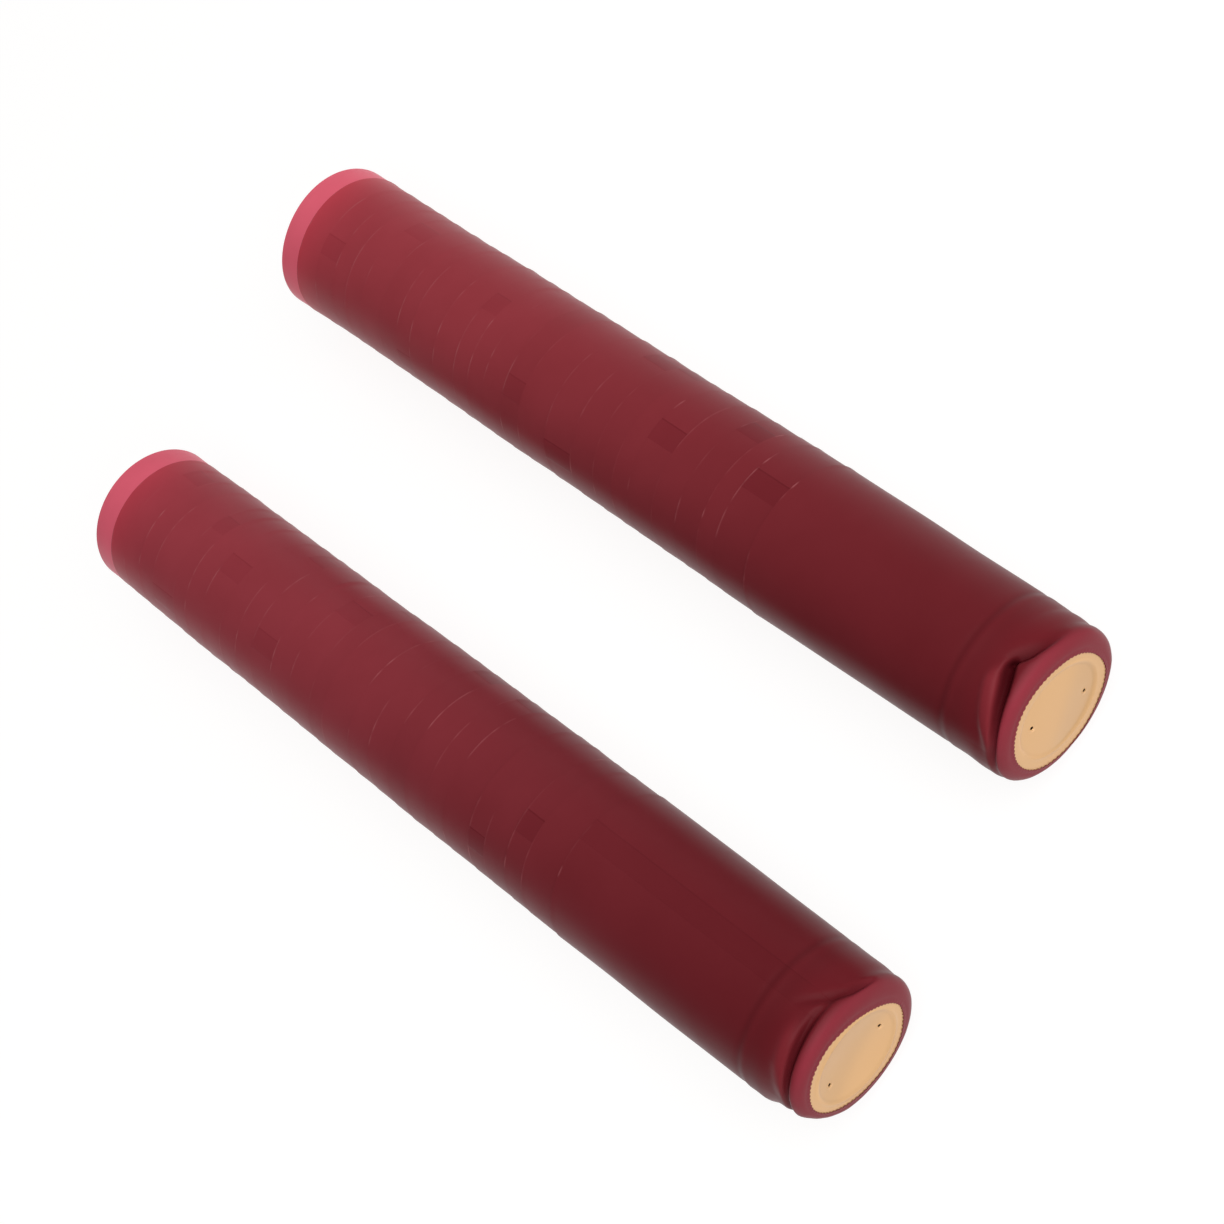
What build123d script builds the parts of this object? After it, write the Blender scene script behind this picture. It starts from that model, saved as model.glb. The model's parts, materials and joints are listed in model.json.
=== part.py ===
from build123d import *

import math
import os

# Two nested stacks of wine-bottle shrink capsules, lying side by side on a flat surface.
# A capsule is a tapered sleeve of thin PVC film with a gold disc in its crown. Each capsule is pushed over the crown of
# the next one, so only the last few millimetres of each skirt show behind the first.
# Millimetres. +Z is up, the crowns face -Y and the open mouths face +Y. Origin: centre of the bounding box, at the floor.

# ---- one capsule -------------------------------------------------------------------------------------------------
CAPSULE_LENGTH = 62.4  # crown face to mouth
FILM = 0.05  # wall of the shrink film
SHOULDER_R = 15.45  # outer radius where the rounded crown meets the straight skirt
MOUTH_R = 16.35  # outer radius at the mouth
CORNER = 2.8  # rounding of the crown, along and across
LIP_HOLE_R = 11.5  # inner edge of the lip, which frames the visible disc
LIP_THICK = 0.2  # the film thickens where it has shrunk in over the disc

# ---- top disc ----------------------------------------------------------------------------------------------------
DISC_R = 12.6
DISC_THICK = 0.15
DISC_SETBACK = 0.22  # front of the disc's rim behind the crown face
RING_R = 9.9  # middle of the embossed ring
RING_W = 0.8
RING_H = 0.12
VENT_R = 0.35  # two vent holes on one diameter
VENT_POS_R = 6.8

# ---- mouth belt of the last capsule ------------------------------------------------------------------------------
# Nothing closes over the band of the last skirt that stands out of the stack, so it has opened to a short straight belt.
BELT_R = 16.36
BELT_LENGTH = 5.0
BELT_FLARE = 0.7

# ---- the stacks --------------------------------------------------------------------------------------------------
# Pitch of each crown behind the one in front, in millimetres, as uneven as capsules pushed together by hand.
PITCHES_A = [
    8.6, 4.5, 6.2, 6.5, 7.0, 4.5, 5.6, 6.8, 7.8, 8.4, 5.6, 6.1,
    4.8, 4.6, 6.8, 7.9, 4.6, 6.1, 6.6, 5.4, 4.8, 6.0, 7.0, 5.7,
]  # fmt: skip
PITCHES_B = [
    8.3, 4.9, 6.0, 4.6, 7.6, 5.4, 6.4, 5.6, 6.3, 6.4, 8.6, 4.5, 6.9,
    6.4, 6.9, 5.2, 5.7, 7.0, 5.8, 4.5, 7.8, 5.4, 5.9, 5.1, 6.0,
]  # fmt: skip
AXIS_HEIGHT = BELT_R  # the stacks lie on their widest rims
A_START = (37.594, -101.9885)  # x, y of the centre of stack A's front crown
B_START = (A_START[0] - 69.7, A_START[1] - 6.0)
B_TURN = 1.46  # degrees by which stack B is turned about +Z, so that the stacks spread apart towards their mouths

VENT_TURNS_A = [142.7]  # vent diameters of the first capsules; those behind are turned by chance
VENT_TURNS_B = [163.8]

taper = (MOUTH_R - SHOULDER_R) / (CAPSULE_LENGTH - CORNER)  # radius gained for each millimetre of skirt


def skirt_r(y):
    """Outer radius of the skirt at a distance y behind the crown face."""
    return SHOULDER_R + taper * (y - CORNER)


for pitch in PITCHES_A + PITCHES_B:
    gap = taper * pitch - FILM
    assert gap > 0.01, f"capsules at a pitch of {pitch} mm would touch"

stacks = {
    "a": (A_START, 0.0, PITCHES_A, VENT_TURNS_A),
    "b": (B_START, B_TURN, PITCHES_B, VENT_TURNS_B),
}
corner_r = SHOULDER_R - CORNER  # where the flat lip meets the rounded shoulder
belt_from = CAPSULE_LENGTH - BELT_LENGTH
flare_from = belt_from - BELT_FLARE
s45 = math.sqrt(0.5)

os.makedirs("parts", exist_ok=True)
everything = []

for stack, (start, turn, pitches, vent_turns) in stacks.items():
    turn_r = math.radians(turn)
    across = Vector(math.cos(turn_r), math.sin(turn_r), 0)  # level, across the stack
    along = Vector(-math.sin(turn_r), math.cos(turn_r), 0)  # from the crown to the mouth
    front = Vector(start[0], start[1], AXIS_HEIGHT)
    stack_axis = Axis(front, along)
    crowns = [sum(pitches[:i]) for i in range(len(pitches) + 1)]
    count = len(crowns)
    core_discs = []
    print(f"stack {stack}: {count} capsules, {crowns[-1] + CAPSULE_LENGTH:.2f} mm long")

    for i, crown in enumerate(crowns, start=1):
        # level plane through the axis, x across the stack and y along it, at this capsule's crown face
        section = Plane(origin=front + along * crown, x_dir=across, z_dir=(0, 0, 1))
        last = i == count

        # film skirt: flat lip, rounded shoulder, tapered sleeve, open mouth
        with BuildPart() as skirt:
            with BuildSketch(section):
                with BuildLine():
                    lip = Line((LIP_HOLE_R, 0), (corner_r, 0))
                    shoulder = ThreePointArc(
                        lip @ 1,
                        (corner_r + CORNER * s45, CORNER - CORNER * s45),
                        (SHOULDER_R, CORNER),
                    )
                    if last:
                        side = Polyline(
                            shoulder @ 1,
                            (skirt_r(flare_from), flare_from),
                            (BELT_R, belt_from),
                            (BELT_R, CAPSULE_LENGTH),
                            (BELT_R - FILM, CAPSULE_LENGTH),
                            (BELT_R - FILM, belt_from),
                            (skirt_r(flare_from) - FILM, flare_from),
                            (SHOULDER_R - FILM, CORNER),
                        )
                    else:
                        side = Polyline(
                            shoulder @ 1,
                            (MOUTH_R, CAPSULE_LENGTH),
                            (MOUTH_R - FILM, CAPSULE_LENGTH),
                            (SHOULDER_R - FILM, CORNER),
                        )
                    under = ThreePointArc(
                        side @ 1,
                        (
                            corner_r + (CORNER - FILM) * s45,
                            CORNER - (CORNER - LIP_THICK) * s45,
                        ),
                        (corner_r, LIP_THICK),
                    )
                    Polyline(under @ 1, (LIP_HOLE_R, LIP_THICK), (LIP_HOLE_R, 0))
                make_face()
            revolve(axis=stack_axis)
        skirt.part.label = f"skirt_{stack}{i:02d}"
        export_step(skirt.part, f"parts/{skirt.part.label}.step")
        everything.append(skirt.part)

        # gold disc: thin round sheet with an embossed ring and two vent holes
        vent_turn = vent_turns[i - 1] if i <= len(vent_turns) else 67.0 * i % 180
        face_plane = Plane(
            origin=front + along * (crown + DISC_SETBACK),
            x_dir=across,
            z_dir=-along,
        )
        with BuildPart() as disc:
            with BuildSketch(section):
                with BuildLine():
                    y0, y1 = DISC_SETBACK, DISC_SETBACK + DISC_THICK
                    inner, outer = RING_R - RING_W / 2, RING_R + RING_W / 2
                    front_flat = Line((0, y0), (inner, y0))
                    crest = ThreePointArc(
                        front_flat @ 1, (RING_R, y0 - RING_H), (outer, y0)
                    )
                    Line(crest @ 1, (DISC_R, y0))
                    Line((DISC_R, y0), (DISC_R, y1))
                    Line((DISC_R, y1), (outer, y1))
                    valley = ThreePointArc(
                        (outer, y1), (RING_R, y1 - RING_H), (inner, y1)
                    )
                    Line(valley @ 1, (0, y1))
                    Line((0, y1), (0, y0))
                make_face()
            revolve(axis=stack_axis)
            with BuildSketch(face_plane):
                with PolarLocations(VENT_POS_R, 2, start_angle=vent_turn):
                    Circle(VENT_R)
            extrude(amount=-2 * DISC_THICK, mode=Mode.SUBTRACT)
        if i <= 2 or last:
            disc.part.label = f"top_disc_{stack}{i:02d}"
            export_step(disc.part, f"parts/{disc.part.label}.step")
            everything.append(disc.part)
        else:
            core_discs.append(disc.part.solid())

    # the discs inside the stack are alike and move together, so they are one group of separate solids
    core = Compound(children=core_discs)
    core.label = f"top_discs_{stack}_core"
    export_step(core, f"parts/{core.label}.step")
    everything.append(core)

box = Compound(children=everything).bounding_box()
print("low", box.min, "high", box.max)
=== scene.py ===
import json
import math

import bpy
import numpy as np
from mathutils import Matrix, Vector
from mathutils.geometry import delaunay_2d_cdt

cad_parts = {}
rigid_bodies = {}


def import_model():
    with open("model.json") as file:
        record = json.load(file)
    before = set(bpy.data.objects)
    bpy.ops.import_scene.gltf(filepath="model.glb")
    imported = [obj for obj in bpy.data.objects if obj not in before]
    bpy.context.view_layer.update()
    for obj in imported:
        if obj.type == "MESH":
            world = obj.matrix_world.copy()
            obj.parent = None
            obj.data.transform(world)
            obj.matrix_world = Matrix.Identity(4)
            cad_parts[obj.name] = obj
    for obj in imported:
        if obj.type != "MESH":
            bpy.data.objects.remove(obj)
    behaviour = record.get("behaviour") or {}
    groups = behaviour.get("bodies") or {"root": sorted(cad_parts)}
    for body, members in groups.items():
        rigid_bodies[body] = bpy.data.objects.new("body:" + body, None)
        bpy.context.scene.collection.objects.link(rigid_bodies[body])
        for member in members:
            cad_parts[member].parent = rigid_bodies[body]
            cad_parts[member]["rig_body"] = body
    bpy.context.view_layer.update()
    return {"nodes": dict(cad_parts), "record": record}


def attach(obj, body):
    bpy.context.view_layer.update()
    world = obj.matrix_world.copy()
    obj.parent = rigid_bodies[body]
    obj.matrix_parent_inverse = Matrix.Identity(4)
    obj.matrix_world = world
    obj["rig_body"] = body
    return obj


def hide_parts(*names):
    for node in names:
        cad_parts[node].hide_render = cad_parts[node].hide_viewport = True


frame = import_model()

MM = 0.001
FILM = 0.05  # wall of the shrink film, mm
TAU = 2 * math.pi

# ---------------------------------------------------------------------------------------------- where the stacks are
mounts = {m["name"]: m for m in frame["record"]["mounts"]}
UP = np.array([0.0, 0.0, 1.0])


class Stack:
    """Axis of one stack and the distance of each capsule's crown behind the front one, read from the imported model."""

    def __init__(self, key):
        self.key = key
        mouth, disc = mounts[f"mouth_{key}"], mounts[f"front_disc_{key}"]
        self.along = np.array(mouth["axis"], float)
        self.along /= np.linalg.norm(self.along)
        self.across = np.cross(self.along, UP)
        disc_centre = np.array(disc["pos_m"], float)
        names = sorted(n for n in frame["nodes"] if n.startswith(f"skirt_{key}"))
        self.count = len(names)
        spans = []
        for n in names:
            mesh = frame["nodes"][n].data
            co = np.zeros(len(mesh.vertices) * 3, np.float32)
            mesh.vertices.foreach_get("co", co)
            d = (co.reshape(-1, 3).astype(float) - disc_centre) @ self.along
            spans.append((d.min(), d.max()))
        self.front = disc_centre + self.along * spans[0][0]
        self.crowns = [(a - spans[0][0]) / MM for a, _ in spans]
        self.length = (spans[0][1] - spans[0][0]) / MM
        self.total = self.crowns[-1] + self.length
        self.skirts = names

    def place(self, r, y, phi):
        """Points at radius r and distance y behind the front crown (mm), phi from the top towards the across side."""
        radial = np.sin(phi)[..., None] * self.across + np.cos(phi)[..., None] * UP
        return self.front + (y * MM)[..., None] * self.along + (r * MM)[..., None] * radial


stacks = {k: Stack(k) for k in "ab"}
LENGTH = stacks["a"].length
SHOULDER_R, MOUTH_R, CORNER = 15.45, 16.35, 2.8
LIP_R, DISC_R = 11.62, 12.6
LIP_DIP = -0.12  # how far the lip sinks towards its inner edge; negative, because it stands a little proud of the crown
TAPER = (MOUTH_R - SHOULDER_R) / (LENGTH - CORNER)


# ---------------------------------------------------------------------------------------------- shape helpers
def smooth(x):
    x = np.clip(x, 0.0, 1.0)
    return x * x * (3 - 2 * x)


def wrap(phi):
    return (phi + math.pi) % TAU - math.pi


def ring_noise(phi, seed, low=1, high=6, power=0.5):
    """Smooth noise round the stack, about -1 to 1, the same at phi and phi + 360 degrees."""
    rng = np.random.default_rng(seed)
    out = np.zeros_like(phi)
    norm = 0.0
    for k in range(low, high + 1):
        a = rng.uniform(0.5, 1.0) / k**power
        out = out + a * np.sin(k * phi + rng.uniform(0, TAU))
        norm += a * a
    return out / math.sqrt(norm / 2) / 1.6


class Crease:
    """A pinched valley (or with negative depth a raised fold) in the film: centre line, depth and half widths along phi."""

    def __init__(self, rows, blur=2.5, power=1.6):
        rows = np.array(rows, float)
        self.grid = np.radians(np.arange(-180, 180, 0.5))
        k = np.exp(-0.5 * (np.arange(-30, 31) * 0.5 / blur) ** 2)
        k /= k.sum()
        self.cols = []
        for c in range(1, rows.shape[1]):
            v = np.interp(np.degrees(self.grid), rows[:, 0], rows[:, c])
            v = np.convolve(np.concatenate([v[-30:], v, v[:30]]), k, mode="valid")
            self.cols.append(v)
        self.power = power

    def at(self, y, phi):
        p = wrap(phi)
        centre, depth, front, back = (np.interp(p, self.grid, c, period=TAU) for c in self.cols)
        x = y - centre
        w = np.where(x < 0, front, back)
        return depth * np.exp(-np.abs(x / w) ** self.power)


# rows: phi in degrees, mm behind the crown face, depth, half width towards the crown, half width away from it
CREASES = {
    "a": [
        Crease(
            [
                (-150, 2.0, 0.05, 0.6, 0.8),
                (-95, 2.0, 0.25, 0.6, 0.8),
                (-75, 1.95, 0.50, 0.6, 0.7),
                (-52, 1.95, 0.95, 0.60, 0.75),
                (-40, 2.2, 1.25, 0.65, 0.85),
                (-29, 2.65, 1.50, 0.80, 1.05),
                (-18, 3.2, 1.70, 0.95, 1.2),
                (-10, 3.7, 1.85, 1.05, 1.3),
                (-3, 4.4, 1.95, 1.2, 1.35),
                (3, 4.9, 1.85, 1.1, 1.1),
                (7, 5.0, 1.4, 0.8, 0.7),
                (11, 4.9, 0.0, 0.4, 0.4),
            ],
            blur=1.2,
            power=2.3,
        ),
        Crease(
            [
                (3, 5.2, 0.0, 0.6, 0.6),
                (7, 5.0, 1.20, 0.7, 1.0),
                (12, 4.1, 1.15, 0.7, 1.3),
                (17, 3.3, 1.05, 0.7, 1.5),
                (26, 2.65, 0.85, 0.6, 1.5),
                (35, 2.3, 0.60, 0.6, 1.4),
                (43, 2.2, 0.30, 0.5, 1.2),
                (52, 2.2, 0.0, 0.5, 1.0),
            ],
            blur=1.2,
            power=1.7,
        ),
        Crease([(-62, 3.0, 0.0, 1.0, 1.0), (-50, 3.3, -0.35, 1.2, 1.0), (-40, 4.3, -0.50, 1.5, 1.2), (-28, 5.3, -0.60, 1.8, 1.3), (-12, 6.6, -0.60, 1.7, 1.3), (-4, 6.9, -0.35, 1.2, 1.0), (3, 6.6, 0.0, 0.9, 0.8)], blur=3, power=2.2),
        Crease([(60, 3.8, 0.0, 1.0, 1.5), (75, 3.9, 0.25, 1.0, 1.5), (100, 3.7, 0.28, 1.0, 1.5), (150, 3.5, 0.10, 1.0, 1.5)], blur=6),
        Crease([(20, 8.6, 0.0, 1.2, 1.5), (50, 8.4, 0.10, 1.2, 1.5), (85, 8.0, 0.14, 1.2, 1.5), (120, 8.0, 0.0, 1.2, 1.5)], blur=6),
    ],
    "b": [
        Crease(
            [
                (-170, 2.3, 0.10, 0.8, 0.9),
                (-120, 2.4, 0.40, 0.8, 1.0),
                (-95, 2.4, 0.75, 0.7, 1.0),
                (-78, 2.4, 0.85, 0.6, 0.9),
                (-53, 2.65, 0.95, 0.6, 0.65),
                (-34, 2.95, 1.15, 0.7, 0.7),
                (-15, 3.35, 1.20, 0.8, 0.8),
                (0, 3.6, 0.95, 0.8, 0.8),
                (11, 3.6, 0.60, 0.7, 0.8),
                (20, 3.4, 0.32, 0.6, 0.8),
                (30, 3.3, 0.0, 0.6, 0.8),
            ],
            blur=2.0,
            power=2.4,
        ),
        Crease(
            [
                (8, 8.2, 0.0, 1.0, 0.8),
                (14, 7.0, 0.20, 1.2, 1.3),
                (20, 5.5, 0.32, 1.2, 1.4),
                (26, 4.0, 0.45, 1.0, 1.4),
                (33, 2.9, 0.62, 0.8, 1.3),
                (40, 2.2, 0.80, 0.6, 1.1),
                (50, 1.9, 0.75, 0.5, 0.9),
                (57, 1.8, 0.35, 0.5, 0.6),
                (64, 1.8, 0.0, 0.5, 0.6),
            ],
            blur=1.8,
            power=2.0,
        ),
        Crease([(-60, 3.6, 0.0, 1.2, 1.2), (-48, 4.0, -0.30, 1.3, 1.3), (-32, 4.9, -0.48, 1.5, 1.5), (-10, 5.8, -0.42, 1.5, 1.5), (6, 6.0, 0.0, 1.0, 1.1)], blur=3, power=2.0),
        Crease([(60, 3.8, 0.0, 1.0, 1.6), (75, 3.7, 0.12, 1.0, 1.6), (110, 3.6, 0.12, 1.0, 1.6), (150, 3.4, 0.05, 1.0, 1.5)], blur=6),
    ],
}
# the film folds forward over the main valley: phi in degrees, how far, mm
LAPS = {
    "a": [(-66, 0.0), (-50, 0.12), (-35, 0.28), (-15, 0.42), (0, 0.45), (6, 0.3), (10, 0.0)],
    "b": [(-80, 0.0), (-60, 0.10), (-40, 0.16), (-10, 0.15), (8, 0.06), (20, 0.0)],
}
# where it puckers, the first crown isn't round. phi in degrees, mm
LIP_EDGE = {  # radius of the lip's inner edge
    "a": [(-165, 12.6), (-150, 12.7), (-135, 12.75), (-120, 12.6), (-105, 12.3), (-90, 12.05), (-75, 11.9), (-60, 11.75), (-45, 11.75),
          (-30, 11.9), (-15, 11.95), (0, 11.7), (15, 11.45), (30, 11.3), (45, 11.35), (60, 11.4), (75, 11.35), (90, 11.45), (105, 11.75),
          (120, 12.2), (135, 12.25), (150, 12.15), (165, 12.3), (180, 12.5)],
    "b": [(-165, 11.95), (-150, 11.85), (-135, 11.7), (-120, 11.65), (-105, 11.7), (-90, 11.8), (-75, 11.9), (-60, 11.85), (-45, 11.85),
          (-30, 11.9), (-15, 11.85), (0, 11.7), (15, 11.05), (30, 10.6), (45, 10.3), (60, 10.3), (75, 10.65), (90, 11.2), (105, 11.7),
          (120, 11.8), (135, 11.9), (150, 12.25), (165, 12.35), (180, 12.2)],
}  # fmt: skip
OUTLINE = {  # radial offset of the shoulder
    "a": [(-165, -1.2), (-150, -0.5), (-135, -0.15), (-120, 0.2), (-105, 0.3), (-90, 0.25), (-75, 0.2), (-60, 0.0), (90, 0.05), (105, 0.2), (120, 0.1), (135, -0.4), (150, -0.65), (165, -0.95), (180, -1.1)],
    "b": [(-165, -0.4), (-150, -0.3), (-135, -0.35), (-120, -1.1), (-105, -1.5), (-90, -1.42), (-75, -0.75), (-60, -0.4), (-45, -0.15), (-30, 0.0), (90, 0.0), (105, 0.2), (120, 0.4), (135, 0.35), (150, 0.0), (165, -0.5), (180, -0.55)],
}  # fmt: skip
CORNERS = {"a": (66, 0.42), "b": (62, 0.45)}  # where the shoulder is creased to a corner, and by how much


def table(rows, phi):
    d, v = np.array(rows, float).T
    return np.interp(wrap(phi), np.radians(d), v, period=TAU)


RING_AT = 13.3  # the faint ring line on the first capsules


def settle(key, t, phi):
    """Radial wander of the whole stack, shared by every film layer so that nested layers keep their gap. Millimetres."""
    s = stacks[key]
    g = 0.05 * np.sin(TAU * t / 83 + 2 * phi + (0.4 if key == "a" else 2.1))
    g = g + 0.035 * np.sin(TAU * t / 37 + 3 * phi + (1.9 if key == "a" else 0.7))
    g = g + 0.02 * np.sin(TAU * t / 23 - 4 * phi + (2.6 if key == "a" else 4.4))
    g = g * smooth((t - 14) / 20)
    end = smooth((t - (s.total - 34)) / 34)
    if key == "a":
        oval = 0.28 * np.cos(2 * (phi - math.radians(72))) + 0.10 * np.cos(3 * (phi - math.radians(40)))
    else:
        oval = 0.22 * np.cos(2 * (phi - math.radians(35))) - 0.22 * np.exp(-(wrap(phi + math.radians(100)) / 0.35) ** 2)
    g = g + oval * end
    under = np.exp(-((wrap(phi - math.pi) / 0.7) ** 2))  # the floor holds the film in
    return np.where(g > 0, g * (1 - under), g)


def dents(key, r, y, phi):
    """What only the first capsule has: puckered crown, pinched folds behind it and the ring line.

    Returns the radial and the axial shift in millimetres, how deep in a fold a point is (0 to 1) and how far up a raised one.
    """
    main, lobe = CREASES[key][0], CREASES[key][2]
    behind = smooth((y - 0.5) / 1.2)
    d = np.zeros(np.broadcast(y, phi).shape)
    for c in CREASES[key]:
        d = d - c.at(y, phi)
    deep = main.at(y, phi) / 1.9 + CREASES[key][1].at(y, phi) / 1.5
    d = d * behind
    d = d - 0.10 * np.exp(-(((y - 4.0) / 1.6) ** 2)) * behind
    soft = 0.75 + 0.25 * ring_noise(phi, 31 if key == "a" else 32, 1, 3)
    d = d + soft * (0.075 * np.exp(-(((y - RING_AT + 0.8) / 0.9) ** 2)) - 0.10 * np.exp(-(((y - RING_AT - 0.5) / 0.8) ** 2)))
    # the lap: the far wall of the valley leans forward over it
    p = wrap(phi)
    centre, _, front, back = (np.interp(p, main.grid, c, period=TAU) for c in main.cols)
    lap = table(LAPS[key], phi)
    x = (y - centre) / back
    shift = lap * (0.75 * np.exp(-(((x - 0.35) / 0.55) ** 2)) - 1.0 * np.exp(-(((x - 1.65) / 0.8) ** 2)))
    # crown: lip edge, shoulder outline, corner
    u = np.clip((r - LIP_R) / (SHOULDER_R - LIP_R), 0, 1)
    d = d + (table(LIP_EDGE[key], phi) - LIP_R) * (1 - u) * (y < 3)
    d = d + table(OUTLINE[key], phi) * u * (1 - smooth((y - 5.0) / 4.5))
    at, much = CORNERS[key]
    d = d + much * np.exp(-((wrap(phi - math.radians(at)) / 0.24) ** 2)) * np.exp(-(((y - 0.9) / 1.0) ** 2)) * smooth((u - 0.3) / 0.5)
    return d, shift * behind, np.clip(deep, 0, 1) * behind, np.clip(-lobe.at(y, phi) / 0.45, 0, 1) * behind


# ---------------------------------------------------------------------------------------------- film skirts
def skirt_profile(detail):
    """(radius, distance, side) rows round the wall's section: out along the outer face, back along the inner one."""
    lip_n, arc_n, spans = {
        2: (9, 26, [(2.8, 9.4, 60), (9.4, 16, 30), (16, LENGTH - 2.4, 36), (LENGTH - 2.4, LENGTH, 14)]),
        1: (6, 10, [(2.8, 16, 12), (16, LENGTH - 2.4, 20), (LENGTH - 2.4, LENGTH, 10)]),
        0: (4, 6, [(2.8, LENGTH - 2.4, 16), (LENGTH - 2.4, LENGTH, 6)]),
    }[detail]
    c = SHOULDER_R - CORNER
    lip = [LIP_R + (c - LIP_R) * (i / lip_n) ** 1.3 for i in range(lip_n)]
    arc = [(c + CORNER * math.sin(a), CORNER - CORNER * math.cos(a)) for a in np.linspace(0, math.pi / 2, arc_n)]
    ys = []
    for a, b, n in spans:
        ys += list(np.linspace(a, b, n + 1)[1:])
    outer = [(r, LIP_DIP * float(smooth((c - r) / (c - LIP_R))), 1) for r in lip]
    outer += [(r, y, 1) for r, y in arc]
    outer += [(SHOULDER_R + TAPER * (y - CORNER), y, 1) for y in ys]
    if detail < 2:
        ys = ys[1::2] if ys[-1] == ys[1::2][-1] else ys[0::2]
    inner = [(r, y + FILM + 0.02 * float(smooth((c - r) / (c - LIP_R))), 0) for r, y, _ in outer[:lip_n]]
    k = (CORNER - FILM) / CORNER
    inner += [(c + (r - c) * k, CORNER + (y - CORNER) * k, 0) for r, y in arc]
    inner += [(SHOULDER_R + TAPER * (y - CORNER) - FILM, y, 0) for y in ys]
    return outer, inner


def grid_mesh(name, pos, uv, tint, marks):
    """Closed solid from a grid of points that closes on itself both ways. pos (n, m, 3); uv (n, m, 2); tint (n, m, 3)."""
    n, m = pos.shape[:2]
    i, j = np.meshgrid(np.arange(n), np.arange(m), indexing="ij")
    i2, j2 = (i + 1) % n, (j + 1) % m
    quads = np.stack([i * m + j, i2 * m + j, i2 * m + j2, i * m + j2], -1).reshape(-1, 4)
    mesh = bpy.data.meshes.new(name)
    mesh.vertices.add(n * m)
    mesh.vertices.foreach_set("co", pos.reshape(-1).astype(np.float32))
    mesh.loops.add(quads.size)
    mesh.loops.foreach_set("vertex_index", quads.reshape(-1).astype(np.int32))
    mesh.polygons.add(len(quads))
    mesh.polygons.foreach_set("loop_start", np.arange(0, quads.size, 4, dtype=np.int32))
    mesh.polygons.foreach_set("use_smooth", np.ones(len(quads), bool))
    mesh.update(calc_edges=True)
    layer = mesh.uv_layers.new(name="film")
    corner_u = uv[..., 0].reshape(-1)[quads].reshape(n, m, 4)
    corner_v = uv[..., 1].reshape(-1)[quads].reshape(n, m, 4)
    period = uv[0, -1, 0] - uv[0, 0, 0] + (uv[0, 1, 0] - uv[0, 0, 0])
    corner_u[:, -1, 2:] = corner_u[:, -1, 2:] + period  # the last column of faces runs on past the start
    layer.data.foreach_set("uv", np.stack([corner_u, corner_v], -1).reshape(-1).astype(np.float32))
    attr = mesh.color_attributes.new(name="tint", type="FLOAT_COLOR", domain="POINT")
    rgba = np.concatenate([tint.reshape(-1, 3), np.ones((n * m, 1))], 1)
    attr.data.foreach_set("color", rgba.reshape(-1).astype(np.float32))
    attr = mesh.color_attributes.new(name="marks", type="FLOAT_COLOR", domain="POINT")
    rgba = np.concatenate([marks.reshape(-1, 3), np.ones((n * m, 1))], 1)
    attr.data.foreach_set("color", rgba.reshape(-1).astype(np.float32))
    mesh.validate()
    return mesh


def orient(mesh):
    """Turns the faces outward if the solid came out inside out."""
    co = np.zeros(len(mesh.vertices) * 3, np.float32)
    mesh.vertices.foreach_get("co", co)
    co = co.reshape(-1, 3).astype(float)
    mesh.calc_loop_triangles()
    tri = np.zeros(len(mesh.loop_triangles) * 3, np.int32)
    mesh.loop_triangles.foreach_get("vertices", tri)
    a, b, c = (co[tri.reshape(-1, 3)[:, k]] - co.mean(0) for k in range(3))
    if np.einsum("ij,ij->i", a, np.cross(b, c)).sum() < 0:
        mesh.flip_normals()


def body_colour_and_light(key, t):
    """Film colour where many layers lie under it: deep burgundy at the gold end, paler towards the mouths, partly from
    fewer layers and partly painted light that brightens towards the mouth end.
    """
    s = smooth((t - 5) / 190) * 0.55 + np.clip(t / 205, 0, 1) * 0.45
    near = np.array([0.137, 0.0134, 0.0180])
    far = np.array([0.335, 0.0455, 0.0575])
    if key == "b":
        near, far = near * 0.93, far * np.array([0.93, 0.97, 0.99])
    return near + (far - near) * s[..., None]


SEAMS = {  # degrees from the top to the middle of each capsule's lap seam, where it shows
    "a": {1: 176, 2: 14, 4: 47, 6: 7, 8: 72, 9: 60, 10: -53, 12: -25, 15: 20, 18: -64, 20: 38, 23: -12},
    "b": {1: 18, 3: -4, 5: -40, 7: 77, 9: 74, 13: 83, 14: 40, 16: -20, 17: 65, 19: 12, 21: 34, 22: -48, 24: 55},
}


def seam_angle(key, k):
    deg = SEAMS[key].get(k, (137.5 * k + (20 if key == "a" else 75)) % 120 + 115)
    return math.radians(deg)


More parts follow.
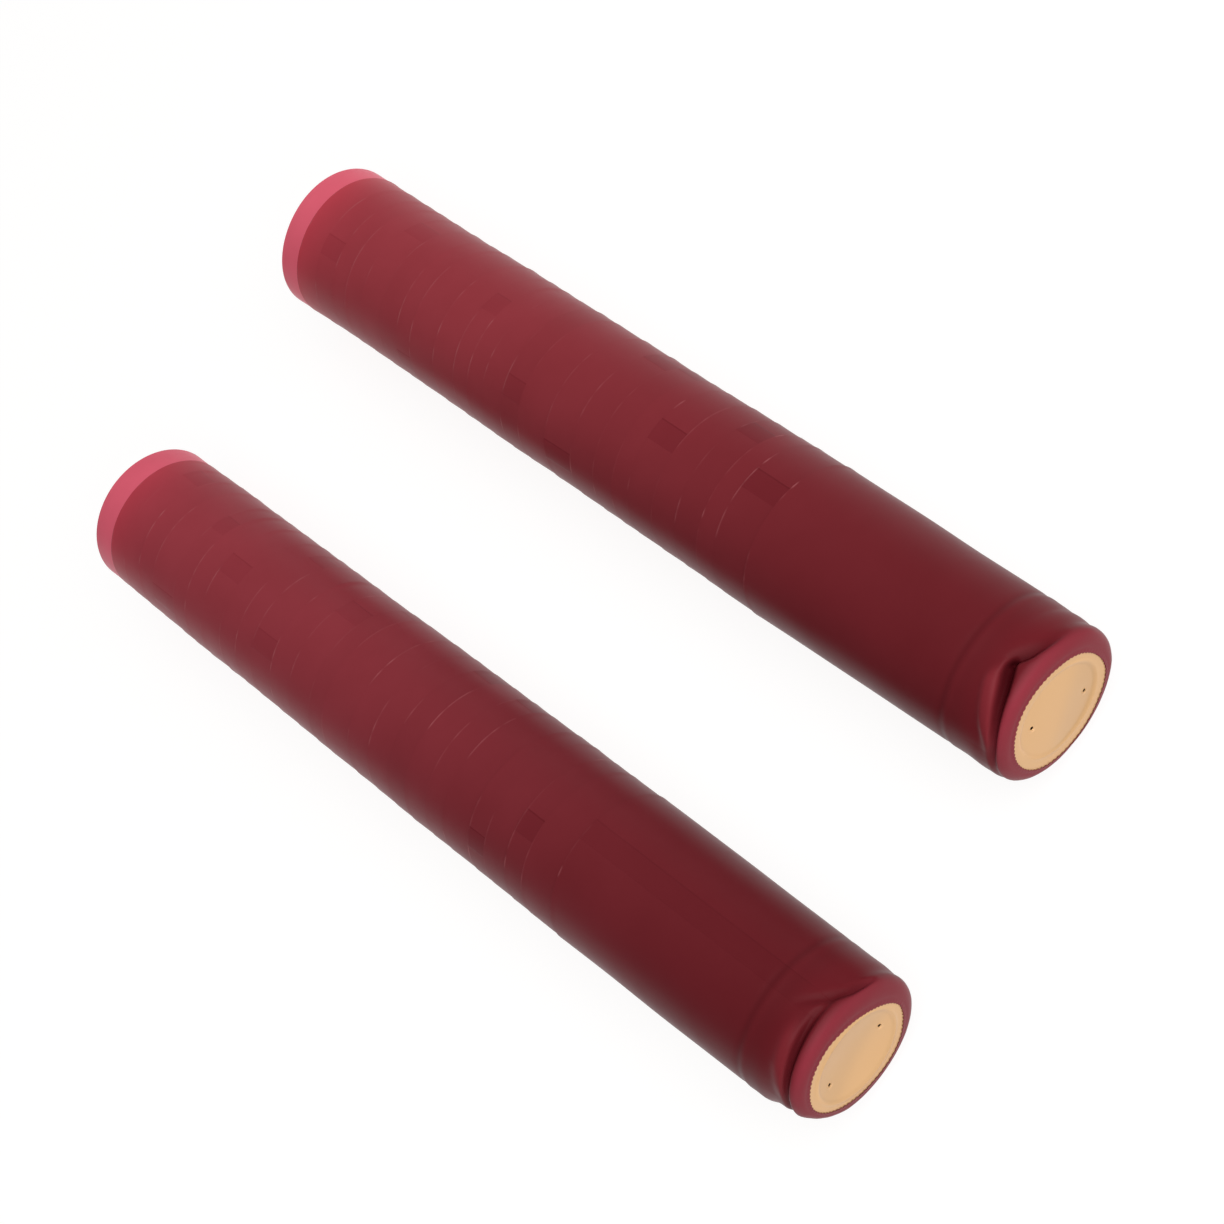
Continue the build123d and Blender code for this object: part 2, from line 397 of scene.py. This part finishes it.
def make_skirt(key, k):
    s = stacks[key]
    crown = s.crowns[k - 1]
    last, first = k == s.count, k == 1
    detail = 2 if first else 1 if k in (2, 3, s.count - 1, s.count) else 0
    m = {2: 576, 1: 288, 0: 144}[detail]
    outer, inner = skirt_profile(detail)
    rows = np.array(outer + inner[::-1])
    phi = np.arange(m) * TAU / m + math.pi  # starts underneath
    r, y, p = np.broadcast_arrays(rows[:, 0:1], rows[:, 1:2], phi[None, :])
    r, y, p = r.copy(), y.copy(), p.copy()
    t = crown + y
    lip = np.exp(-(((r - LIP_R) / 0.55) ** 2)) * (y < 1.5)
    if detail:
        teeth = (0.5 + 0.5 * np.cos(72 * p)) ** 1.4  # the shrunk edge's fine serration
        dr = (0.30 * teeth - 0.12) * lip * (0.8 + 0.2 * ring_noise(p, 5 + k, 2, 9))
    else:
        dr = np.zeros_like(r)
    dr = dr + settle(key, t, p) * smooth((r - LIP_R) / 3)
    slide = deep = lobe = np.zeros_like(y)
    if first:
        pressed, slide, deep, lobe = dents(key, r, y, p)
        dr = dr + pressed
    # the free edge lifts a little, unevenly, where nothing lies over it
    edge = smooth((y - (LENGTH - 1.7)) / 1.7) ** 1.5
    seed = (100 if key == "a" else 200) + k
    rng = np.random.default_rng(seed)
    lift = np.clip(0.35 + 0.65 * ring_noise(p, seed, 1, 5), 0, None) * rng.uniform(0.01, 0.045)
    side = math.radians(rng.uniform(68, 92))
    lift = lift + rng.uniform(0.0, 0.09) * np.exp(-(((wrap(p - side)) / 0.26) ** 2))
    if last:
        lift = lift * 0.3
    dr = dr + edge * lift
    # the lap seam's outer flap stands proud on the band that shows
    seam = seam_angle(key, k)
    arc = wrap(p - seam) * 16.0
    previous = s.crowns[k - 1] - s.crowns[k - 2] if k > 1 else LENGTH - 3
    shown = smooth((y - (LENGTH - previous) - 0.2) / 0.6)
    flap = smooth((arc + 2.35) / 0.2) * smooth((2.6 - arc) / 0.9)
    dr = dr + 0.03 * flap * shown
    ends = np.zeros_like(y)
    if detail:
        ends = 0.05 * ring_noise(p, seed + 50, 1, 4) * smooth((y - (LENGTH - 4)) / 4)
    pos = s.place(r + dr, crown + y + ends + slide, p)
    uv = np.stack([wrap(p - seam) * 16.0 / 100, y / 100], -1)
    u0 = wrap(np.array(phi[0] - seam)) * 16.0 / 100
    uv[..., 0] = u0 + (np.arange(m) * TAU / m * 16.0 / 100)[None, :]
    if last:
        tint = np.empty(pos.shape)
        tint[...] = (0.80, 0.130, 0.186) if key == "a" else (0.735, 0.120, 0.174)
    else:
        tint = body_colour_and_light(key, t)
        away = np.clip(s.crowns[-2] + LENGTH - t, 0, None)  # fewer layers underneath towards the last mouths
        tint = tint * (1 + np.exp(-away / 7)[..., None] * np.array([0.48, 0.14, 0.26]))
        if first:  # one layer with nothing inside it as far as the next crown, and stretched thin over the crown; the paler lip is partly that thin film and partly a painted reflection of the pale floor
            w = 1 - smooth((y - 6.5) / 4.5)
            tint = tint * (1 + w[..., None] * np.array([0.12, 0.0, 0.04]))
            w = 1 - smooth((y - 0.6) / 2.6)
            tint = tint * (1 + w[..., None] * np.array([0.42, 0.85, 0.90]))
            # painted highlight along the crown's bead, on its upper-left side
            w = np.exp(-(((y - 0.9) / 0.9) ** 2)) * smooth((r - 12.2) / 1.2) * np.exp(-(((wrap(p) + 0.25) / 0.85) ** 2))
            tint = tint * (1 + w[..., None] * np.array([0.32, 0.35, 0.40]))
            # painted light on the raised folds behind the crown
            tint = tint * (1 + lobe[..., None] * np.array([0.45, 0.72, 0.66]))
            # painted shade in the pinched valleys, deepest where the fold is deepest
            tint = tint * (1 - deep[..., None] * np.array([0.62, 0.72, 0.68]))
            # painted shade along the ring line's groove, with faint painted light just in front of it on the crown side
            tint = tint * (1 - 0.12 * np.exp(-(((y - RING_AT - 0.4) / 0.7) ** 2)) + 0.04 * np.exp(-(((y - RING_AT + 0.8) / 0.8) ** 2)))[..., None]
    tint = tint * rng.uniform(0.975, 1.025)
    # painted highlight in broken arcs along the cut edge, and how plainly the seam shows
    marks = np.zeros(pos.shape)
    for centre in list(rng.uniform(-70, 35, 3)) + list(rng.uniform(-180, 180, 4)):
        half, bright = rng.uniform(3, 13), rng.uniform(0.15, 1.0) ** 1.7
        marks[..., 0] = np.maximum(marks[..., 0], bright * smooth(1.6 - np.abs(wrap(p - math.radians(centre))) / math.radians(half)))
    marks[..., 0] *= 0.62 + 0.38 * ring_noise(p, seed + 9, 8, 40, 0.1)
    marks[..., 1] = 0.40 * smooth((y - 6) / 4) if first else 0.95 if k < 12 else 0.55
    marks[..., 2] = deep
    mesh = grid_mesh(f"film_{key}{k:02d}", pos, uv, tint, np.clip(marks, 0, 1))
    orient(mesh)
    mesh.set_sharp_from_angle(angle=math.radians(50))
    piece = bpy.data.objects.new(f"film_{key}{k:02d}", mesh)
    bpy.context.scene.collection.objects.link(piece)
    mesh.materials.append(mouth_film if last else film)
    node = f"skirt_{key}{k:02d}"
    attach(piece, frame["nodes"][node]["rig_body"])
    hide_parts(node)
    return piece


# ---------------------------------------------------------------------------------------------- gold discs
VENTS = {"a": 142.7, "b": 163.8}  # degrees from the across side towards the top, first capsules


def vent_angle(key, k):
    return math.radians(VENTS[key] if k == 1 else 67.0 * k % 180)


DISC_FRONT, DISC_WALL, HOLE_R = 0.17, 0.12, 0.35
FIRST_FRONT, FIRST_R = 0.04, 12.95  # the first discs lie close under the lip
DISH = {"a": -0.26, "b": 0.98}  # how far the middle of the first disc is pressed in; negative, it bulges
LOOSE = {"a": (-0.12, -0.10), "b": (-0.10, 0.0)}  # how far the first disc has slipped under the lip, across and up


def fold_line(key, x, z):
    """Distance from the soft fold across the first disc, millimetres, positive below it."""
    return 0.632 * x - 0.775 * z - 1.5 if key == "a" else 0.25 * x - z - 2.2


def disc_surface(x, z, vents, key, k):
    """How far the disc's front face lies behind the crown face at x across and z up, in millimetres."""
    r = np.hypot(x, z)
    d = np.full(x.shape, FIRST_FRONT if k == 1 else DISC_FRONT)
    inside = 1 - smooth((r - 9.2) / 1.5)
    d = d - 0.17 * np.exp(-(((r - 9.95) / 0.40) ** 2))  # embossed ring
    d = d + 0.05 * smooth((9.6 - r) / 0.5)  # panel inside it, slightly sunk
    dish = DISH[key] if k == 1 else 0.12 * math.sin(2.1 * k)
    d = d + dish * np.clip(1 - (r / 9.7) ** 2, 0, None)
    if k == 1:
        q = fold_line(key, x, z)
        d = d + inside * {"a": 0.055, "b": -0.02}[key] * (np.sqrt(q * q + 1.4) - 1.2)
    d = d + inside * 0.03 * np.sin(0.33 * x + 0.9 * k) * np.cos(0.29 * z + 1.3 * k)
    for vx, vz in vents:
        q = np.hypot(x - vx, z - vz)
        side = (-(x - vx) * 0.2 - (z - vz) * 0.98) / np.maximum(q, 1e-6)  # the burr is higher below the hole
        d = d - (0.10 + 0.16 * np.clip(side, 0, 1)) * np.exp(-(((q - HOLE_R - 0.14) / 0.20) ** 2))
        d = d + 0.09 * np.exp(-((q / 1.0) ** 2))
    if k == 1:  # the rim bends back with the puckered crown in front of it
        x, z = x + LOOSE[key][0], z + LOOSE[key][1]
        r, phi = np.hypot(x, z), np.arctan2(x, z)
        span = SHOULDER_R - LIP_R
        edge, outline = table(LIP_EDGE[key], phi) - LIP_R, table(OUTLINE[key], phi)
        r0 = (r - edge * (1 + LIP_R / span) + outline * LIP_R / span) / (1 - (edge - outline) / span)
        c = SHOULDER_R - CORNER
        back = CORNER - np.sqrt(np.maximum(CORNER**2 - np.clip(r0 - c, 0, CORNER * 0.95) ** 2, 0))
        d = np.maximum(d, np.where(r0 > c, back + FILM + 0.06, -1.0))
    return d


def disc_painted_light(x, z, vents, key, k):
    """Painted light and shade on the first discs' lacquer: lighter on one side of the soft fold and darker on the
    other, brighter on the rim outside the ring with a darker line inside it, and brighter on the vents' burrs.
    """
    tone = np.ones(x.shape)
    if k > 1:
        return tone
    r = np.hypot(x, z)
    inside = 1 - smooth((r - 9.2) / 1.0)
    q = fold_line(key, x, z)
    # painted light on one side of the soft fold, painted shade on the other
    tone = tone + inside * (-0.055 if key == "a" else 0.06) * np.tanh(q / 2.2)
    # painted highlight on the rim outside the embossed ring, painted shade just inside it
    tone = tone + 0.035 * smooth((r - 9.9) / 0.4) - 0.05 * np.exp(-(((r - 9.35) / 0.3) ** 2))
    phi = np.degrees(np.arctan2(x, z))
    ring_highlight = {"a": 0.09, "b": 0.03}[key] * np.exp(-(((phi - 59) / 22) ** 2)) + 0.09 * np.exp(-(((phi + 62) / 26) ** 2))
    tone = tone + ring_highlight * np.exp(-(((r - 9.95) / 0.35) ** 2))  # painted highlight on the ring in two places
    # painted glint just below each vent, on its burr
    for vx, vz in vents:
        tone = tone + 0.42 * np.exp(-((np.hypot(x - vx + 0.16, z - vz + 0.74) / 0.36) ** 2))
    return tone


def disc_arrays(key, k, fine):
    """Vertices (x, z, y) and triangles of one disc: a thin sheet with two punched vents."""
    turn = vent_angle(key, k)
    vents = [(6.8 * math.cos(turn), 6.8 * math.sin(turn)), (-6.8 * math.cos(turn), -6.8 * math.sin(turn))]
    pts, edges = [], []

    def ring(cx, cz, r, n, constrain=False, phase=0.0, avoid=()):
        start = len(pts)
        for i in range(n):
            a = TAU * (i + phase) / n
            q = (cx + r * math.cos(a), cz + r * math.sin(a))
            if any(math.hypot(q[0] - ax, q[1] - az) < keep for ax, az, keep in avoid):
                continue
            pts.append(q)
        if constrain:
            for i in range(n):
                edges.append((start + i, start + (i + 1) % n))

    around = 24 if fine else 12
    clear = [(vx, vz, 1.25) for vx, vz in vents]
    rim = FIRST_R if k == 1 else DISC_R
    ring(0, 0, rim, 192 if fine else 64, True)
    if fine:
        radii = [0.5 + 0.6 * i for i in range(15)] + [9.3, 9.45, 9.6, 9.75, 9.85, 9.95, 10.05, 10.15, 10.3, 10.45, 10.65, 10.9, 11.3, 11.8, 12.25]
    else:
        radii = [1.5, 3, 4.5, 6, 7.5, 9.0, 9.5, 9.95, 10.4, 11.0, 11.8]
    for i, r in enumerate(radii):
        n = int(max(12, TAU * r / (0.62 if fine else 1.6)))
        n = max(n, 140) if fine and r > 9 else n
        ring(0, 0, r, n, phase=0.5 * (i % 2), avoid=clear)
    pts.append((0.0, 0.0))
    for vx, vz in vents:
        ring(vx, vz, HOLE_R, around, True)
        for i, r in enumerate((0.40, 0.46, 0.53, 0.62, 0.76, 0.95) if fine else (0.5, 0.85)):
            ring(vx, vz, r, around, phase=0.5 * (i % 2))
    made = delaunay_2d_cdt([Vector(q) for q in pts], edges, [], 0, 1e-6)
    xz = np.array([tuple(v) for v in made[0]])
    tri = np.array([f for f in made[2] if len(f) == 3], int)
    mid = xz[tri].mean(1)
    keep = np.hypot(mid[:, 0], mid[:, 1]) < rim + 1e-6
    for vx, vz in vents:
        keep &= np.hypot(mid[:, 0] - vx, mid[:, 1] - vz) > HOLE_R * 0.97
    tri = tri[keep]
    used = np.unique(tri)
    new = -np.ones(len(xz), int)
    new[used] = np.arange(len(used))
    xz, tri = xz[used], new[tri]
    n = len(xz)
    d = disc_surface(xz[:, 0], xz[:, 1], vents, key, k)
    r = np.hypot(xz[:, 0], xz[:, 1])
    verts = np.concatenate([np.column_stack([xz, d]), np.column_stack([xz, d + DISC_WALL])])
    count = {}
    for t in tri:
        for a, b in ((t[0], t[1]), (t[1], t[2]), (t[2], t[0])):
            count[(a, b)] = count.get((a, b), 0) + 1
    walls = []
    for a, b in count:
        if (b, a) not in count:
            walls += [(b, a, a + n), (b, a + n, b + n)]
    faces = np.concatenate([tri, tri[:, ::-1] + n, np.array(walls, int)])
    tone = disc_painted_light(xz[:, 0], xz[:, 1], vents, key, k)
    return verts, faces, np.concatenate([tone, tone])


def make_discs(name, key, ks, node, fine):
    s = stacks[key]
    all_v, all_f, all_t, start = [], [], [], 0
    for k in ks:
        v, f, tone = disc_arrays(key, k, fine)
        if k == 1:
            v[:, :2] += LOOSE[key]
        world = s.front + ((s.crowns[k - 1] + v[:, 2]) * MM)[:, None] * s.along + (v[:, 0] * MM)[:, None] * s.across + (v[:, 1] * MM)[:, None] * UP
        all_v.append(world)
        all_f.append(f + start)
        all_t.append(tone)
        start += len(v)
    verts, faces = np.concatenate(all_v), np.concatenate(all_f)
    mesh = bpy.data.meshes.new(name)
    mesh.from_pydata(verts.tolist(), [], faces.tolist())
    attr = mesh.color_attributes.new(name="tone", type="FLOAT_COLOR", domain="POINT")
    tone = np.concatenate(all_t)
    attr.data.foreach_set("color", np.column_stack([tone, tone, tone, np.ones(len(tone))]).reshape(-1).astype(np.float32))
    mesh.validate()
    mesh.update()
    mesh.polygons.foreach_set("use_smooth", np.ones(len(mesh.polygons), bool))
    orient(mesh)
    mesh.set_sharp_from_angle(angle=math.radians(50))
    mesh.materials.append(gold)
    piece = bpy.data.objects.new(name, mesh)
    bpy.context.scene.collection.objects.link(piece)
    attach(piece, frame["nodes"][node]["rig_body"])
    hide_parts(node)
    return piece


# ---------------------------------------------------------------------------------------------- materials
class Graph:
    def __init__(self, name):
        self.mat = bpy.data.materials.new(name)
        self.mat.use_nodes = True
        self.tree = self.mat.node_tree
        self.bsdf = self.tree.nodes["Principled BSDF"]

    def node(self, kind, **inputs):
        n = self.tree.nodes.new(kind)
        for key, value in inputs.items():
            if key.startswith("_"):
                setattr(n, key[1:], value)
            else:
                self.set(n.inputs[key.replace("__", " ")], value)
        return n

    def set(self, socket, value):
        if isinstance(value, bpy.types.NodeSocket):
            self.tree.links.new(value, socket)
        else:
            socket.default_value = value

    def math(self, op, a, b=0.0, c=0.0, clamp=False):
        n = self.tree.nodes.new("ShaderNodeMath")
        n.operation = op
        n.use_clamp = clamp
        for i, v in enumerate((a, b, c)):
            self.set(n.inputs[i], v)
        return n.outputs[0]

    def step(self, x, a, b):
        """0 at a to 1 at b, smoothly."""
        n = self.tree.nodes.new("ShaderNodeMapRange")
        n.interpolation_type = "SMOOTHSTEP"
        self.set(n.inputs["Value"], x)
        self.set(n.inputs["From Min"], a)
        self.set(n.inputs["From Max"], b)
        return n.outputs["Result"]

    def mix(self, kind, fac, a, b):
        n = self.tree.nodes.new("ShaderNodeMix")
        n.data_type = "RGBA"
        n.blend_type = kind
        self.set(n.inputs[0], fac)
        self.set(n.inputs[6], a)
        self.set(n.inputs[7], b)
        return n.outputs[2]

    def noise(self, vector, scale, detail=2.0, rough=0.5):
        n = self.tree.nodes.new("ShaderNodeTexNoise")
        self.tree.links.new(vector, n.inputs["Vector"])
        n.inputs["Scale"].default_value = scale
        n.inputs["Detail"].default_value = detail
        n.inputs["Roughness"].default_value = rough
        return n.outputs["Fac"]


def film_material(name, strength):
    """Satin shrink film. Its map "film" runs round the skirt from the lap seam (u) and back from the crown (v), mm / 100."""
    g = Graph(name)
    tint = g.node("ShaderNodeAttribute", _attribute_name="tint").outputs["Color"]
    marks = g.node("ShaderNodeSeparateColor", Color=g.node("ShaderNodeAttribute", _attribute_name="marks").outputs["Color"])
    uv = g.node("ShaderNodeUVMap", _uv_map="film").outputs["UV"]
    sep = g.node("ShaderNodeSeparateXYZ", Vector=uv)
    u = g.math("MULTIPLY", sep.outputs["X"], 100.0)
    v = g.math("MULTIPLY", sep.outputs["Y"], 100.0)
    where = g.node("ShaderNodeTexCoord").outputs["Object"]
    # cloudy depth from the layers underneath
    cloud = g.noise(where, 55.0, 3.0, 0.6)
    base = g.mix("MULTIPLY", 1.0, tint, g.node("ShaderNodeCombineColor", Red=g.math("MULTIPLY_ADD", cloud, 0.20, 0.90), Green=g.math("MULTIPLY_ADD", cloud, 0.30, 0.85), Blue=g.math("MULTIPLY_ADD", cloud, 0.30, 0.85)).outputs["Color"])
    # lap seam: two films thick, so darker, with a hard edge on each side
    period = 16.0 * TAU
    uu = g.math("WRAP", u, period / 2, -period / 2)
    band = g.math("MULTIPLY", g.step(uu, -2.3, -2.15), g.step(uu, 2.45, 2.3))
    plain = g.math("MULTIPLY", marks.outputs["Green"], strength)
    base = g.mix("MULTIPLY", g.math("MULTIPLY", band, plain), base, (0.90, 0.82, 0.85, 1))
    line = g.math("MULTIPLY", g.step(uu, 2.15, 2.28), g.step(uu, 2.55, 2.42))
    base = g.mix("MULTIPLY", g.math("MULTIPLY", line, plain), base, (0.80, 0.70, 0.72, 1))
    # painted highlight in broken arcs along the cut edge
    off = g.math("SUBTRACT", LENGTH, v)
    edge = g.math("MULTIPLY", g.step(off, 0.42, 0.10), marks.outputs["Red"])
    base = g.mix("MIX", g.math("MULTIPLY", edge, 0.55), base, (0.44, 0.13, 0.14, 1))
    # dust specks
    spots = g.node("ShaderNodeTexVoronoi", Vector=where, Scale=95.0, Randomness=1.0)
    cell = g.node("ShaderNodeSeparateColor", Color=spots.outputs["Color"])
    rare = g.math("GREATER_THAN", cell.outputs["Red"], 0.80)
    speck = g.math("MULTIPLY", rare, g.step(spots.outputs["Distance"], 0.022, 0.010))
    base = g.mix("MIX", g.math("MULTIPLY", speck, 0.45), base, (0.45, 0.22, 0.22, 1))
    g.set(g.bsdf.inputs["Base Color"], base)
    rough = g.math("MULTIPLY_ADD", g.noise(where, 240.0, 3.0, 0.6), 0.12, 0.30)
    g.set(g.bsdf.inputs["Roughness"], g.math("ADD", rough, g.math("MULTIPLY", speck, 0.2)))
    g.set(g.bsdf.inputs["Specular IOR Level"], g.math("MULTIPLY_ADD", marks.outputs["Blue"], -0.065, 0.07))  # folds see little light
    # slight orange peel, lengthwise draw lines and the seam's step
    peel = g.noise(where, 900.0, 2.0, 0.5)
    draw = g.noise(g.node("ShaderNodeCombineXYZ", X=g.math("MULTIPLY", u, 1.0), Y=g.math("MULTIPLY", v, 0.05)).outputs["Vector"], 1.4, 2.0, 0.5)
    wave = g.noise(where, 120.0, 1.0, 0.5)
    height = g.math("ADD", g.math("MULTIPLY", peel, 0.004), g.math("ADD", g.math("MULTIPLY", draw, 0.006), g.math("MULTIPLY", wave, 0.035)))
    height = g.math("ADD", height, g.math("MULTIPLY", band, 0.02))
    bump = g.node("ShaderNodeBump", Height=height, Distance=0.001, Strength=0.8)
    g.set(g.bsdf.inputs["Normal"], bump.outputs["Normal"])
    return g.mat


def gold_material():
    g = Graph("gold_lacquer")
    where = g.node("ShaderNodeTexCoord").outputs["Object"]
    cloud = g.noise(where, 140.0, 3.0, 0.55)
    fine = g.noise(where, 2600.0, 2.0, 0.6)
    tone = g.math("ADD", g.math("MULTIPLY", cloud, 0.10), g.math("MULTIPLY", fine, 0.05))
    base = g.mix("MIX", g.math("ADD", tone, 0.40, clamp=True), (0.64, 0.372, 0.172, 1), (0.73, 0.452, 0.228, 1))
    # the tone attribute carries painted light and shade on the first discs
    base = g.mix("MULTIPLY", 1.0, base, g.node("ShaderNodeAttribute", _attribute_name="tone").outputs["Color"])
    g.set(g.bsdf.inputs["Base Color"], base)
    g.bsdf.inputs["Metallic"].default_value = 0.40
    g.bsdf.inputs["Specular IOR Level"].default_value = 0.12
    g.set(g.bsdf.inputs["Roughness"], g.math("MULTIPLY_ADD", cloud, 0.12, 0.26))
    height = g.math("ADD", g.math("MULTIPLY", fine, 0.006), g.math("MULTIPLY", cloud, 0.02))
    bump = g.node("ShaderNodeBump", Height=height, Distance=0.001, Strength=0.6)
    g.set(g.bsdf.inputs["Normal"], bump.outputs["Normal"])
    return g.mat


film = film_material("shrink_film", 1.0)
mouth_film = film_material("shrink_film_single", 0.6)
gold = gold_material()

# ---------------------------------------------------------------------------------------------- build
for key, s in stacks.items():
    for k in range(1, s.count + 1):
        make_skirt(key, k)
    for k in (1, 2, s.count):
        make_discs(f"disc_{key}{k:02d}", key, [k], f"top_disc_{key}{k:02d}", k <= 2)
    make_discs(f"discs_{key}_core", key, range(3, s.count), f"top_discs_{key}_core", False)

# ---------------------------------------------------------------------------------------------- camera
cam_data = bpy.data.cameras.new("camera")
camera = bpy.data.objects.new("camera", cam_data)
bpy.context.scene.collection.objects.link(camera)
bpy.context.scene.camera = camera
cam_data.lens = 69.756
cam_data.sensor_width = 36.0
cam_data.clip_start = 0.01
cam_data.clip_end = 50.0
right = Vector((0.5635, -0.6607, -0.4958)).normalized()
up = Vector((0.8249, 0.4810, 0.2968)).normalized()
back = right.cross(up).normalized()
up = back.cross(right).normalized()
turn = Matrix((right, up, back)).transposed().to_4x4()
camera.matrix_world = Matrix.Translation((0.02515, -0.28046, 0.39727)) @ turn

# ---------------------------------------------------------------------------------------------- stage and light
floor_mesh = bpy.data.meshes.new("floor")
size = 5.0
floor_mesh.from_pydata([(-size, -size, 0), (size, -size, 0), (size, size, 0), (-size, size, 0)], [], [(0, 1, 2, 3)])
floor = bpy.data.objects.new("floor", floor_mesh)
floor.location.z = -0.0002
bpy.context.scene.collection.objects.link(floor)
g = Graph("floor_paper")
g.bsdf.inputs["Base Color"].default_value = (0.16, 0.16, 0.16, 1)
g.bsdf.inputs["Roughness"].default_value = 0.9
g.bsdf.inputs["Specular IOR Level"].default_value = 0.0
g.bsdf.inputs["Emission Color"].default_value = (1.0, 0.995, 0.99, 1)
where = g.node("ShaderNodeSeparateXYZ", Vector=g.node("ShaderNodeTexCoord").outputs["Object"])
dimmer = g.math("MULTIPLY_ADD", g.step(where.outputs["X"], -0.75, -0.22), 0.49, 0.40)  # the paper is lit less far out on stack B's side
g.set(g.bsdf.inputs["Emission Strength"], dimmer)
floor_mesh.materials.append(g.mat)

world = bpy.data.worlds.new("studio")
bpy.context.scene.world = world
world.use_nodes = True
wt = world.node_tree
coords = wt.nodes.new("ShaderNodeTexCoord")
split = wt.nodes.new("ShaderNodeSeparateXYZ")
wt.links.new(coords.outputs["Generated"], split.inputs[0])
ramp = wt.nodes.new("ShaderNodeValToRGB")
wt.links.new(split.outputs["Z"], ramp.inputs["Fac"])
ramp.color_ramp.elements[0].position = 0.0
ramp.color_ramp.elements[0].color = (0.75, 0.75, 0.76, 1)
ramp.color_ramp.elements[1].position = 0.55
ramp.color_ramp.elements[1].color = (0.16, 0.16, 0.17, 1)
side = wt.nodes.new("ShaderNodeMapRange")  # the studio is darker on stack B's side
wt.links.new(split.outputs["X"], side.inputs["Value"])
side.inputs["From Min"].default_value = -0.7
side.inputs["From Max"].default_value = 0.5
side.inputs["To Min"].default_value = 0.40
side.inputs["To Max"].default_value = 1.0
dim = wt.nodes.new("ShaderNodeVectorMath")
dim.operation = "SCALE"
wt.links.new(ramp.outputs["Color"], dim.inputs[0])
wt.links.new(side.outputs["Result"], dim.inputs["Scale"])
background = wt.nodes["Background"]
wt.links.new(dim.outputs["Vector"], background.inputs["Color"])
background.inputs["Strength"].default_value = 1.0


def area(name, where, target, width, height, power, colour=(1, 1, 1)):
    data = bpy.data.lights.new(name, "AREA")
    data.shape = "RECTANGLE"
    data.size, data.size_y = width, height
    data.energy = power
    data.color = colour
    lamp = bpy.data.objects.new(name, data)
    bpy.context.scene.collection.objects.link(lamp)
    lamp.location = where
    lamp.rotation_euler = (Vector(target) - Vector(where)).to_track_quat("-Z", "Y").to_euler()
    return lamp


area("key", (0.18, -0.55, 1.0), (0, 0, 0), 1.4, 1.4, 15.3)

scene = bpy.context.scene
scene.view_settings.view_transform = "Standard"
scene.view_settings.look = "None"
scene.view_settings.exposure = 0.0
scene.view_settings.gamma = 1.0
